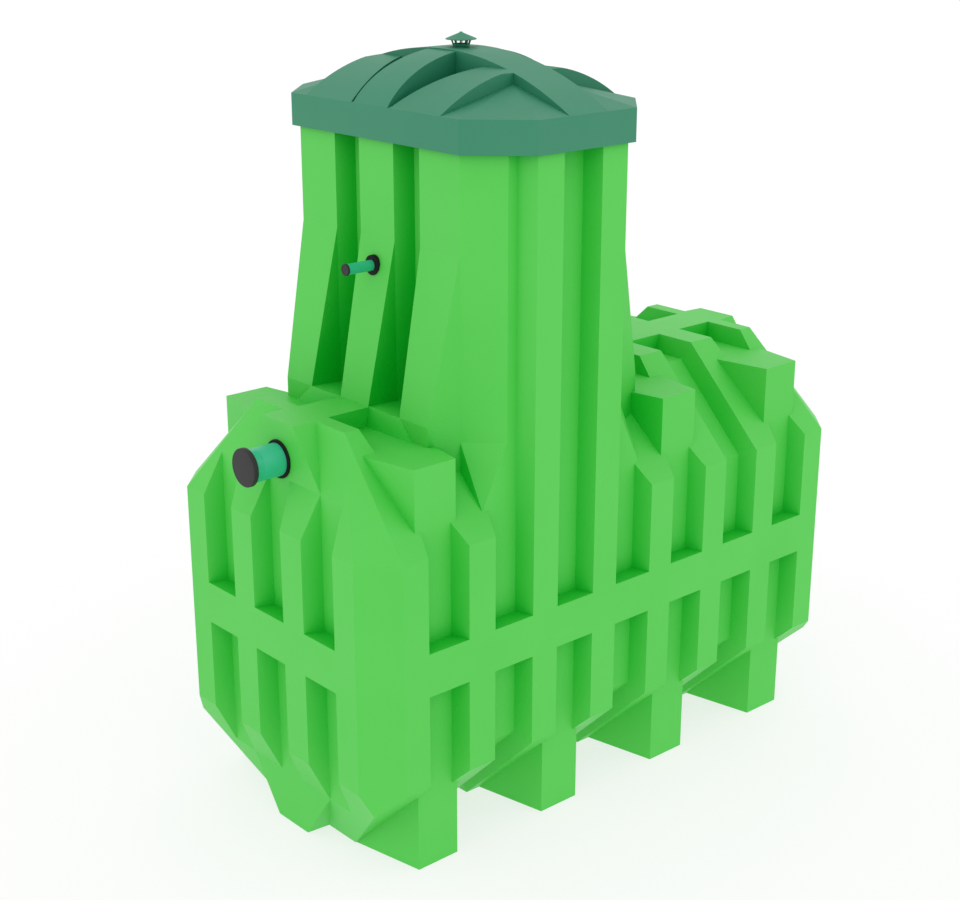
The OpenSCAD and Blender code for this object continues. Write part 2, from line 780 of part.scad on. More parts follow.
module spine() {
  difference() {
    intersection() {
      long_arch(0);
      block([neck_x - spine_half_w, -lid_half_w, lid_base],
            [neck_x + spine_half_w, lid_half_w, crown_z]);
    }
    intersection() {
      long_arch(lid_wall);
      block([neck_x - spine_half_w + lid_wall, -lid_half_w, lid_base - past],
            [neck_x + spine_half_w - lid_wall, lid_half_w, crown_z]);
    }
    for (end = [0, 1]) translate([end * 2 * neck_x, 0, 0]) mirror([end, 0, 0])
      middle_arch(past, lid_wall);
    for (end = [0, 1], side = [0, 1])
      translate([end * 2 * neck_x, 0, 0]) mirror([end, 0, 0]) mirror([0, side, 0])
        outer_arch(0, lid_wall);
    translate([neck_x, 0, crown_z - past])
      cylinder(h = 2 * past, d = vent_d + 2 * pipe_clear);
  }
}

module collar() {
  reach = lid_wall + past / 2;
  translate([neck_x, 0, crown_z]) difference() {
    union() {
      translate([0, 0, -reach]) cylinder(h = reach + vent_collar_h, d = vent_d);
      cylinder(h = vent_collar_h / 2, d = vent_cage_d + lid_wall);
    }
    translate([0, 0, -reach - past]) cylinder(h = reach + vent_collar_h + 2 * past,
                                              d = vent_d - 2 * pipe_wall);
  }
}

module cage() {
  foot_h = 3;
  lean = atan2((vent_cage_top_d - vent_cage_d) / 2, vent_cage_h);
  translate([neck_x, 0, crown_z + vent_collar_h]) {
    difference() {
      cylinder(h = foot_h, d = vent_cage_d);
      translate([0, 0, -past]) cylinder(h = 2 * past, d = vent_d - 2 * pipe_wall);
    }
    intersection() {
      for (i = [0:vent_posts_n - 1]) rotate([0, 0, (i + 0.5) * 360 / vent_posts_n])
        translate([vent_cage_d / 2 - pipe_wall, -vent_post_w / 2, 0]) rotate([0, lean, 0])
          translate([0, 0, -past]) cube([pipe_wall, vent_post_w, vent_cage_h + 2 * past]);
      cylinder(h = vent_cage_h, d = 2 * vent_cap_d);
    }
  }
}

module rain_cap() {
  eaves_t = 3;
  translate([neck_x, 0, crown_z + vent_collar_h + vent_cage_h]) {
    cylinder(h = eaves_t, d = vent_cap_d);
    translate([0, 0, eaves_t])
      cylinder(h = vent_cap_h - eaves_t, d1 = vent_cap_d, d2 = eaves_t);
  }
}

// A tube along X from x0 to x1, at height z
module tube(x0, x1, z, d_out, d_in) {
  translate([x0, 0, z]) rotate([0, 90, 0]) difference() {
    cylinder(h = x1 - x0, d = d_out);
    translate([0, 0, -past]) cylinder(h = x1 - x0 + 2 * past, d = d_in);
  }
}

module stub_pipe() {
  tube(-end_floor_x - pipe_reach, -deck_half_l + end_run, pipe_z, pipe_d, pipe_d - 2 * pipe_wall);
}

module gasket() {
  tube(-end_floor_x - gasket_t, -end_floor_x, pipe_z, gasket_d, pipe_d + 2 * pipe_clear);
}

module end_cap() {
  end = -end_floor_x - pipe_reach;
  tube(end, end + cap_rim, pipe_z, cap_d, pipe_d + 2 * pipe_clear);
  translate([end - cap_t, 0, pipe_z]) rotate([0, 90, 0]) cylinder(h = cap_t, d = cap_d);
}

// Plug pushed into the outlet pipe, its disc no wider than the pipe
module outlet_plug() {
  end = -end_floor_x - pipe_reach;
  translate([end - cap_t, 0, pipe_z]) rotate([0, 90, 0]) cylinder(h = cap_t, d = pipe_d);
  translate([end - cap_t, 0, pipe_z]) rotate([0, 90, 0])
    cylinder(h = cap_t + cap_rim, d = pipe_d - 2 * pipe_wall - 2 * pipe_clear);
}

module duct() {
  tube(neck_x0 - duct_reach, neck_x0 + 2 * past, duct_z, duct_d, duct_d - 2 * duct_wall);
}

// The duct's flange, cut on its back to the slope of the rib that it sits on
module flange() {
  out = flare_slope * (flare_top - duct_z);
  difference() {
    translate([neck_x0 - out - duct_flange_t - duct_flange_d / 2 * flare_slope, 0, duct_z])
      rotate([0, 90, 0])
        cylinder(h = duct_flange_t + duct_flange_d * flare_slope, d = duct_flange_d);
    beyond([neck_x0, 0, flare_top], [1, 0, -flare_slope]);
    duct_hole();
  }
}

module plug() {
  end = neck_x0 - duct_reach;
  tube(end, end + plug_rim, duct_z, plug_d, duct_d + 2 * pipe_clear);
  translate([end - duct_wall, 0, duct_z]) rotate([0, 90, 0]) cylinder(h = duct_wall, d = plug_d);
}

module bottom() { color(tank_green) base_plate(); }
module front_chine() { color(tank_green) side_chine(); }
module back_chine() { color(tank_green) to_back() side_chine(); }
module inlet_chine() { color(tank_green) end_chine(); }
module outlet_chine() { color(tank_green) to_outlet() end_chine(); }
module front_wall() { color(tank_green) side_wall(); }
module back_wall() { color(tank_green) to_back() side_wall(); }
module inlet_wall() { color(tank_green) end_wall(); }
module outlet_wall() { color(tank_green) to_outlet() end_wall(); }
module front_inlet_shoulder() { color(tank_green) side_shoulder(-deck_half_l, neck_x0); }
module front_outlet_shoulder() { color(tank_green) side_shoulder(neck_x1, deck_half_l); }
module back_inlet_shoulder() { color(tank_green) to_back() side_shoulder(-deck_half_l, neck_x0); }
module back_outlet_shoulder() { color(tank_green) to_back() side_shoulder(neck_x1, deck_half_l); }
module inlet_shoulder() { color(tank_green) end_shoulder(); }
module outlet_shoulder() { color(tank_green) to_outlet() end_shoulder(); }
module inlet_deck() { color(tank_green) deck(-deck_half_l, neck_x0 + 2 * past, [0]); }
module outlet_deck() { color(tank_green) deck(neck_x1 - 2 * past, deck_half_l, [4, 5, 6]); }
module front_feet() { color(tank_green) front_foot_row(); }
module back_feet() { color(tank_green) to_back() front_foot_row(); }
module inlet_foot() { color(tank_green) end_wedge(); }
module outlet_foot() { color(tank_green) to_outlet() end_wedge(); }
module front_lugs() { color(tank_green) front_lug_row(); }
module back_lugs() { color(tank_green) to_back() front_lug_row(); }
module inlet_boss() { color(tank_green) pipe_boss(); }
module outlet_boss() { color(tank_green) to_outlet() pipe_boss(); }
module neck_inlet_wall() { color(tank_green) neck_inlet_end(); }
module neck_outlet_wall() { color(tank_green) to_neck_outlet() neck_end_wall(); }
module neck_front_wall() { color(tank_green) neck_side_wall(); }
module neck_back_wall() { color(tank_green) to_back() neck_side_wall(); }
module lid_skirt() { color(lid_green) skirt(); }
module lid_spine() { color(lid_green) spine(); }
module lid_inlet_panel() { color(lid_green) lid_side_panel(); }
module lid_outlet_panel() { color(lid_green) to_neck_outlet() lid_side_panel(); }
module vent_collar() { color(lid_green) collar(); }
module vent_cage() { color(lid_green) cage(); }
module vent_cap() { color(lid_green) rain_cap(); }
module inlet_pipe() { color(pipe_teal) stub_pipe(); }
module inlet_gasket() { color(rubber_black) gasket(); }
module inlet_cap() { color(rubber_black) end_cap(); }
module outlet_pipe() { color(pipe_teal) to_outlet() stub_pipe(); }
module outlet_gasket() { color(rubber_black) to_outlet() gasket(); }
module outlet_cap() { color(rubber_black) to_outlet() outlet_plug(); }
module duct_pipe() { color(pipe_teal) duct(); }
module duct_flange() { color(rubber_black) flange(); }
module duct_plug() { color(rubber_black) plug(); }

bottom();
front_chine();
back_chine();
inlet_chine();
outlet_chine();
front_wall();
back_wall();
inlet_wall();
outlet_wall();
front_inlet_shoulder();
front_outlet_shoulder();
back_inlet_shoulder();
back_outlet_shoulder();
inlet_shoulder();
outlet_shoulder();
inlet_deck();
outlet_deck();
front_feet();
back_feet();
inlet_foot();
outlet_foot();
front_lugs();
back_lugs();
inlet_boss();
outlet_boss();
neck_inlet_wall();
neck_outlet_wall();
neck_front_wall();
neck_back_wall();
lid_skirt();
lid_spine();
lid_inlet_panel();
lid_outlet_panel();
vent_collar();
vent_cage();
vent_cap();
inlet_pipe();
inlet_gasket();
inlet_cap();
outlet_pipe();
outlet_gasket();
outlet_cap();
duct_pipe();
duct_flange();
duct_plug();
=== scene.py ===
"""Septic tank: finishes, moulded fittings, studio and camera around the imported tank."""
from __future__ import annotations

import logging
import math
from dataclasses import dataclass, field, replace
from enum import Enum
from typing import Any, Iterable, Sequence

import bmesh
import bpy
from mathutils import Matrix, Vector


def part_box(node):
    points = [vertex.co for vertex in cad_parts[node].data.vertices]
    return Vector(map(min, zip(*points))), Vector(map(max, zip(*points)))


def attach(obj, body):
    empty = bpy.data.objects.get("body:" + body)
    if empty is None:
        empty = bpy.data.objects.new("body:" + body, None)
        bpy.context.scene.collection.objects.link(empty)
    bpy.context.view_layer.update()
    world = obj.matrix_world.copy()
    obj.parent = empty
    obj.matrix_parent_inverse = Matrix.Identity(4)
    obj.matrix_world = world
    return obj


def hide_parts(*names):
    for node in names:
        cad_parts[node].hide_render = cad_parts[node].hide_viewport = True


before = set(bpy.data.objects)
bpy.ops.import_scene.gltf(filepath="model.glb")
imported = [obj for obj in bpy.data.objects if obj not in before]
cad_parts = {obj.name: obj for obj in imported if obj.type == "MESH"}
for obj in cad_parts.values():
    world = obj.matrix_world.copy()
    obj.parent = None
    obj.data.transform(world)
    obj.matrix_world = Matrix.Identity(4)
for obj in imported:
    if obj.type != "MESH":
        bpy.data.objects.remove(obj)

LOG = logging.getLogger("septic_tank")
BODY = "root"
UP = Vector((0.0, 0.0, 1.0))
ON_AXIS = 1e-9
MERGE = 1e-6

Colour = tuple[float, float, float]
Place = tuple[float, float, float]
Point = tuple[float, float]


class Slot(Enum):
    """The record's material slots."""

    TANK = "tank_plastic"
    LID = "lid_plastic"
    PIPE = "pipe_plastic"
    RUBBER = "gasket_rubber"
    CAP = "cap_plastic"


class End(Enum):
    """The two ends of the tank, with the sign of each end's outward direction."""

    INLET = -1
    OUTLET = 1

    @property
    def prefix(self) -> str:
        """First word of the names of the nodes at this end."""
        return self.name.lower()


# ---------------------------------------------------------------- shader maths


class Wire:
    """A shader socket that Python arithmetic works on, one Math node for each sign."""

    def __init__(self, maker: "NodeMaker", socket: bpy.types.NodeSocket) -> None:
        """Wraps a socket.

        Args:
            maker: The maker of the tree that the socket belongs to.
            socket: An output socket.
        """
        self.maker = maker
        self.socket = socket

    def _math(self, operation: str, *values: Any) -> "Wire":
        """Adds one Math node and returns its result."""
        return self.maker.add("ShaderNodeMath", {"operation": operation}, dict(enumerate(values)))

    def __add__(self, other: Any) -> "Wire":
        """Sum."""
        return self._math("ADD", self, other)

    def __radd__(self, other: Any) -> "Wire":
        """Sum with a number on the left."""
        return self._math("ADD", other, self)

    def __sub__(self, other: Any) -> "Wire":
        """Difference."""
        return self._math("SUBTRACT", self, other)

    def __rsub__(self, other: Any) -> "Wire":
        """Difference from a number on the left."""
        return self._math("SUBTRACT", other, self)

    def __mul__(self, other: Any) -> "Wire":
        """Product."""
        return self._math("MULTIPLY", self, other)

    def __rmul__(self, other: Any) -> "Wire":
        """Product with a number on the left."""
        return self._math("MULTIPLY", other, self)

    def clamp(self, low: float, high: float) -> "Wire":
        """Maps the range from low to high onto 0 to 1, smoothly and with its ends held.

        Args:
            low: The value that becomes 0.
            high: The value that becomes 1.

        Returns:
            The mapped value.
        """
        return self.maker.add("ShaderNodeMapRange", {"interpolation_type": "SMOOTHSTEP"},
                              {"Value": self, "From Min": low, "From Max": high})


class NodeMaker:
    """Makes the nodes of one material."""

    def __init__(self, name: str) -> None:
        """Starts an empty material with a Principled shader.

        Args:
            name: The material's name.
        """
        self.material = bpy.data.materials.new(name)
        self.material.use_nodes = True
        self.tree = self.material.node_tree
        self.tree.nodes.clear()
        self.shader = self.tree.nodes.new("ShaderNodeBsdfPrincipled")
        output = self.tree.nodes.new("ShaderNodeOutputMaterial")
        self.tree.links.new(self.shader.outputs["BSDF"], output.inputs["Surface"])
        self.place = self.add("ShaderNodeTexCoord", {}, {}, "Object")

    def set(self, socket: bpy.types.NodeSocket, value: Any) -> None:
        """Links a wire to a socket, or sets the socket's own value."""
        if isinstance(value, Wire):
            self.tree.links.new(value.socket, socket)
        elif isinstance(value, tuple) and len(value) == 3 and socket.type == "RGBA":
            socket.default_value = (*value, 1.0)
        else:
            socket.default_value = value

    def add(self, kind: str, settings: dict[str, Any], values: dict[Any, Any],
            output: Any = 0) -> Wire:
        """Adds a node.

        Args:
            kind: The node's type.
            settings: Properties of the node, set first.
            values: Numbers, colours or wires by the input's name or place.
            output: The name or place of the output that is returned.

        Returns:
            The node's output.
        """
        node = self.tree.nodes.new(kind)
        for key, value in settings.items():
            setattr(node, key, value)
        for key, value in values.items():
            self.set(node.inputs[key], value)
        return Wire(self, node.outputs[output])

    def stretched(self, scale: Place) -> Wire:
        """Object coordinates scaled along each axis."""
        return self.add("ShaderNodeMapping", {}, {"Vector": self.place, "Scale": scale})

    def noise(self, scale: float, detail: float = 2.0, rough: float = 0.5,
              place: Wire | None = None) -> Wire:
        """Smooth noise around 0.5.

        Args:
            scale: Number of lumps to a metre.
            detail: Number of finer layers.
            rough: How strong the finer layers are.
            place: Coordinates, or None for the object's own.

        Returns:
            The noise value.
        """
        return self.add("ShaderNodeTexNoise", {},
                        {"Vector": place or self.place, "Scale": scale, "Detail": detail,
                         "Roughness": rough}, "Fac")

    def mix(self, amount: Any, first: Any, second: Any) -> Wire:
        """Colour between two colours.

        Args:
            amount: 0 for the first colour, 1 for the second.
            first: A colour or a wire.
            second: A colour or a wire.

        Returns:
            The mixed colour.
        """
        node = self.tree.nodes.new("ShaderNodeMix")
        node.data_type = "RGBA"
        self.set(node.inputs[0], amount)
        self.set(node.inputs[6], first)
        self.set(node.inputs[7], second)
        return Wire(self, node.outputs[2])

    def share(self, vector: Wire, axis: str) -> Wire:
        """One of the X, Y and Z parts of a vector."""
        return self.add("ShaderNodeSeparateXYZ", {}, {"Vector": vector}, axis)

    def facing(self, axis: str) -> Wire:
        """How far a face looks along an axis, from -1 to 1."""
        return self.share(self.add("ShaderNodeNewGeometry", {}, {}, "Normal"), axis)

    def upward(self) -> Wire:
        """1 on faces that look straight up, 0 on walls, below 0 on undersides."""
        return self.facing("Z")

    def sideways(self) -> Wire:
        """1 on faces that look across the tank, 0 on faces that look along it or up."""
        return self.add("ShaderNodeMath", {"operation": "ABSOLUTE"}, {0: self.facing("Y")})

    def height(self) -> Wire:
        """Height over the ground, in metres."""
        return self.share(self.place, "Z")

    def open_air(self, reach: float) -> Wire:
        """How open the surface is to the air around it.

        Args:
            reach: How far neighbouring walls count, in metres.

        Returns:
            1 in the open, towards 0 in a corner or a groove.
        """
        return self.add("ShaderNodeAmbientOcclusion", {"samples": 6},
                        {"Distance": reach}, "AO")

    def bump(self, height: Wire, distance: float, normal: Wire | None = None) -> Wire:
        """Bump from a height.

        Args:
            height: The height, from 0 to 1.
            distance: The real height of 1, in metres.
            normal: A bump under this one, or None.

        Returns:
            The bumped normal.
        """
        values: dict[Any, Any] = {"Height": height, "Distance": distance, "Strength": 1.0}
        if normal is not None:
            values["Normal"] = normal
        return self.add("ShaderNodeBump", {}, values, "Normal")

    def finish(self, colour: Wire, roughness: Wire, normal: Wire,
               **constants: float) -> bpy.types.Material:
        """Feeds the shader.

        Args:
            colour: Base colour.
            roughness: Roughness.
            normal: Bumped normal.
            constants: Values of other sockets, with _ for a space in a socket's name.

        Returns:
            The finished material.
        """
        self.set(self.shader.inputs["Base Color"], colour)
        self.set(self.shader.inputs["Roughness"], roughness)
        self.set(self.shader.inputs["Normal"], normal)
        for name, value in constants.items():
            self.set(self.shader.inputs[name.replace("_", " ")], value)
        return self.material


# ------------------------------------------------------------------- finishes


@dataclass(frozen=True)
class RotomouldedPlastic:
    """Matte polyethylene from a rotating mould.

    It has soft lumps, a powder grain, a pale dusty film with painted light from above on open
    faces that look up, and painted shade in grooves and corners.

    Attributes:
        name: The material's name.
        base: Colour of the open faces.
        deep: Colour of the cloudy patches.
        recess_shade: Colour of the painted shade deep in a groove.
        dust_and_top_light: Colour of the pale dusty film and the painted light from above.
        dust_and_top_light_amount: How strong the dusty film and the painted light from above are.
        recess_shade_amount: How strong the painted shade in grooves and corners is.
        recess_shade_reach: How far the walls around a groove count for its painted shade, in
            metres.
        flank: How much stronger the painted shade is on grooves' side walls, or 0 for the same on
            all walls.
        floor_share: How strong the painted shade is on grooves' floors where flank isn't 0.
        ground_h: Height over the ground at which the painted shade is whole, in metres.
        ground_fade: How much of the painted shade is lost on the ground.
        roughness: Roughness before its unevenness.
        gleam: Strength of the shader's reflections.
        lump_h: Height of the soft lumps, in metres.
        peel_h: Height of the orange peel, in metres.
        grain_h: Height of the powder grain, in metres.
    """

    name: str
    base: Colour
    deep: Colour
    recess_shade: Colour
    dust_and_top_light: Colour
    dust_and_top_light_amount: float = 0.05
    recess_shade_amount: float = 0.95
    recess_shade_reach: float = 0.3
    flank: float = 0.0
    floor_share: float = 0.6
    ground_h: float = 0.6
    ground_fade: float = 0.85
    roughness: float = 0.36
    gleam: float = 0.30
    lump_h: float = 0.0016
    peel_h: float = 0.000384
    grain_h: float = 0.00012

    def build(self) -> bpy.types.Material:
        """Makes the material."""
        maker = NodeMaker(self.name)
        cloud = maker.noise(2.3, 3.0, 0.55)
        powder = maker.noise(310.0, 2.0, 0.7)
        peel = maker.noise(95.0, 3.0, 0.5)
        draw = maker.noise(9.0, 3.0, 0.6, maker.stretched((1.0, 1.0, 0.18)))
        colour = maker.mix(cloud.clamp(0.3, 0.72) * 0.55 + powder.clamp(0.35, 0.8) * 0.25,
                           self.base, self.deep)
        air = maker.open_air(self.recess_shade_reach)
        # Paler on open faces that look up: a dusty film together with painted light from above.
        dust_and_top_light_mask = maker.upward().clamp(0.25, 1.0) * (0.55 + 0.9 * draw) * air * self.dust_and_top_light_amount
        colour = maker.mix(dust_and_top_light_mask, colour, self.dust_and_top_light)
        # Painted shade: where ambient occlusion finds walls near, the colour goes towards the
        # darker shade colour, less near the ground and, with flank, more on grooves' side walls.
        ground = 1.0 - maker.height().clamp(0.05, self.ground_h)
        shade = (1.0 - air).clamp(0.08, 0.8) * (1.0 - self.ground_fade * ground)
        shade = shade * self.recess_shade_amount
        if self.flank:
            shade = shade * (self.floor_share + self.flank * maker.sideways())
        colour = maker.mix(shade, colour, self.recess_shade)
        roughness = self.roughness + 0.10 * cloud + 0.06 * powder + 0.08 * draw
        normal = maker.bump(cloud, self.lump_h)
        normal = maker.bump(peel, self.peel_h, normal)
        normal = maker.bump(powder, self.grain_h, normal)
        return maker.finish(colour, roughness, normal, IOR=1.5, Specular_IOR_Level=self.gleam)


@dataclass(frozen=True)
class ExtrudedPlastic:
    """Glossy extruded pipe: fine lines along the pipe and a faint cloud in the colour."""

    name: str
    base: Colour
    deep: Colour
    roughness: float = 0.26
    gleam: float = 0.5
    line_h: float = 0.00006
    cloud_h: float = 0.0005

    def build(self) -> bpy.types.Material:
        """Makes the material."""
        maker = NodeMaker(self.name)
        lines = maker.noise(420.0, 2.0, 0.6, maker.stretched((0.012, 1.0, 1.0)))
        cloud = maker.noise(14.0, 3.0, 0.5)
        colour = maker.mix(cloud.clamp(0.3, 0.7) * 0.6 + lines.clamp(0.3, 0.7) * 0.3,
                           self.base, self.deep)
        normal = maker.bump(lines, self.line_h, maker.bump(cloud, self.cloud_h))
        return maker.finish(colour, self.roughness + 0.1 * cloud + 0.08 * lines, normal,
                            IOR=1.5, Specular_IOR_Level=self.gleam)


@dataclass(frozen=True)
class SealRubber:
    """Matte black rubber with a dusty grain."""

    name: str
    base: Colour
    dusty: Colour
    roughness: float = 0.62
    gleam: float = 0.15
    grain_h: float = 0.00005
    cloud_h: float = 0.0003

    def build(self) -> bpy.types.Material:
        """Makes the material."""
        maker = NodeMaker(self.name)
        grain = maker.noise(800.0, 2.0, 0.7)
        cloud = maker.noise(26.0, 3.0, 0.6)
        colour = maker.mix(cloud.clamp(0.35, 0.75) * 0.5 + grain.clamp(0.4, 0.8) * 0.2,
                           self.base, self.dusty)
        normal = maker.bump(grain, self.grain_h, maker.bump(cloud, self.cloud_h))
        return maker.finish(colour, self.roughness + 0.14 * cloud, normal,
                            IOR=1.5, Specular_IOR_Level=self.gleam)


@dataclass(frozen=True)
class InjectedPlastic:
    """Dark moulded cap: fine sparks of the mould and rubbed spots."""

    name: str
    base: Colour
    rubbed: Colour
    roughness: float = 0.44
    gleam: float = 0.3
    spark_h: float = 0.00009
    rub_h: float = 0.0003

    def build(self) -> bpy.types.Material:
        """Makes the material."""
        maker = NodeMaker(self.name)
        sparks = maker.noise(620.0, 3.0, 0.6)
        rubs = maker.noise(34.0, 4.0, 0.65)
        colour = maker.mix(rubs.clamp(0.48, 0.78) * 0.6 + sparks.clamp(0.4, 0.8) * 0.25,
                           self.base, self.rubbed)
        normal = maker.bump(sparks, self.spark_h, maker.bump(rubs, self.rub_h))
        return maker.finish(colour, self.roughness + 0.12 * rubs + 0.08 * sparks, normal,
                            IOR=1.5, Specular_IOR_Level=self.gleam)


class Palette:
    """All the finishes of the tank, by slot, and a copy of the tank's with deeper painted shade
    for the neck's ends.
    """

    def __init__(self) -> None:
        """Makes every material once."""
        # In each plastic, the third colour is painted shade in grooves and corners and the fourth
        # a dusty film with painted light from above.
        tank = RotomouldedPlastic("tank_green_plastic",
                                  base=(0.096, 0.612, 0.084), deep=(0.082, 0.588, 0.072),
                                  recess_shade=(0.0, 0.545, 0.026), dust_and_top_light=(0.26, 0.66, 0.25))
        lid = RotomouldedPlastic("lid_green_plastic",
                                 base=(0.050, 0.258, 0.148), deep=(0.043, 0.240, 0.136),
                                 recess_shade=(0.010, 0.19, 0.095), dust_and_top_light=(0.12, 0.30, 0.21),
                                 dust_and_top_light_amount=0.06, roughness=0.40, gleam=0.22)
        pipe = ExtrudedPlastic("pipe_teal_plastic",
                               base=(0.036, 0.535, 0.288), deep=(0.029, 0.470, 0.250))
        rubber = SealRubber("gasket_rubber",
                            base=(0.008, 0.008, 0.009), dusty=(0.020, 0.020, 0.021))
        cap = InjectedPlastic("cap_dark_plastic",
                              base=(0.026, 0.024, 0.025), rubbed=(0.040, 0.037, 0.038))
        self.materials: dict[Slot, bpy.types.Material] = {
            Slot.TANK: tank.build(), Slot.LID: lid.build(), Slot.PIPE: pipe.build(),
            Slot.RUBBER: rubber.build(), Slot.CAP: cap.build(),
        }
        # A copy of the tank's finish with deeper painted shade, stronger on grooves' side walls,
        # for the neck's ends.
        self.neck_end = replace(tank, name="neck_end_green_plastic",
                                recess_shade=(0.0, 0.450, 0.016), flank=1.8).build()

    def dress(self, piece: bpy.types.Object, slot: Slot,
              finish: bpy.types.Material | None = None) -> None:
        """Puts one material on all of a piece.

        Args:
            piece: The piece.
            slot: The slot whose finish it takes.
            finish: A finish that it takes instead, or None.
        """
        piece.data.materials.clear()
        piece.data.materials.append(finish or self.materials[slot])


# --------------------------------------------------------------------- meshes


def rounded(points: Sequence[Point], radius: float, steps: int = 4) -> list[Point]:
    """Rounds the corners of a closed outline.

    Args:
        points: The outline's corners.
        radius: Largest length cut off each corner, less where a side is short.
        steps: Number of short sides in each round corner.

    Returns:
        The outline with round corners.
    """
    most = 0.45
    out: list[Point] = []
    count = len(points)
    for i, corner in enumerate(points):
        here = Vector(corner)
        before, after = Vector(points[i - 1]) - here, Vector(points[(i + 1) % count]) - here
        cut = min(radius, before.length * most, after.length * most)
        if corner[0] <= ON_AXIS:
            out.append((0.0, corner[1]))
            continue
        start, end = here + before.normalized() * cut, here + after.normalized() * cut
        for k in range(steps + 1):
            t = k / steps
            spot = start * (1 - t) ** 2 + here * 2 * t * (1 - t) + end * t * t
            out.append((spot.x, spot.y))
    return out


class Lathe:
    """Turns outlines into solids of revolution about an axis along X or Z."""

    def __init__(self, segments: int = 96) -> None:
        """Keeps the number of sides of each ring."""
        self.segments = segments

    def turn(self, name: str, outline: Sequence[Point], centre: Vector,
             axis: Vector) -> bpy.types.Object:
        """Turns a closed outline.

        Args:
            name: The piece's name.
            outline: Closed loop of (radius, height) points; radius 0 is a point on the axis.
            centre: Where radius 0 and height 0 lie.
            axis: Direction of height.

        Returns:
            The new object, with its place in its mesh.
        """
        work = bmesh.new()
        side = axis.orthogonal().normalized()
        other = axis.cross(side).normalized()
        rings: list[list[bmesh.types.BMVert]] = []
        for radius, height in outline:
            base = centre + axis * height
            if radius <= ON_AXIS:
                rings.append([work.verts.new(base)])
                continue
            turns = (2 * math.pi * k / self.segments for k in range(self.segments))
            rings.append([work.verts.new(base + (side * math.cos(a) + other * math.sin(a))
                                         * radius) for a in turns])
        for ring, following in zip(rings, rings[1:] + rings[:1]):
            if len(ring) == 1 and len(following) == 1:
                continue
            for k in range(self.segments):
                n = (k + 1) % self.segments
                if len(ring) == 1:
                    work.faces.new((ring[0], following[k], following[n]))
                elif len(following) == 1:
                    work.faces.new((ring[k], following[0], ring[n]))
                else:
                    work.faces.new((ring[k], following[k], following[n], ring[n]))
        return finished(name, work)


def finished(name: str, work: bmesh.types.BMesh, sharp: float = 35.0) -> bpy.types.Object:
    """Closes a mesh in the making and puts it in the scene.

    Args:
        name: The piece's name.
        work: The mesh in the making, which is freed.
        sharp: Angle between two faces from which their edge stays sharp, in degrees.

    Returns:
        The new object.
    """
    bmesh.ops.remove_doubles(work, verts=work.verts, dist=MERGE)
    bmesh.ops.recalc_face_normals(work, faces=work.faces)
    mesh = bpy.data.meshes.new(name)
    work.to_mesh(mesh)
    work.free()
    mesh.polygons.foreach_set("use_smooth", [True] * len(mesh.polygons))
    mesh.set_sharp_from_angle(angle=math.radians(sharp))
    piece = bpy.data.objects.new(name, mesh)
    bpy.context.scene.collection.objects.link(piece)
    return piece


def settle(piece: bpy.types.Object, slot: Slot, palette: Palette,
           replaced: Iterable[str] = ()) -> None:
    """Dresses a finished piece, seats it on its body and reports it.

    Args:
        piece: The finished piece.
        slot: The slot whose finish it takes.
        palette: The finishes.
        replaced: Names of the nodes that it stands for.
    """
    palette.dress(piece, slot)
    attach(piece, BODY)
    names = tuple(replaced)
    if names:
        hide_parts(*names)
    LOG.info("%s: %d faces, for %s", piece.name, len(piece.data.polygons),
             ", ".join(names) or "nothing else")


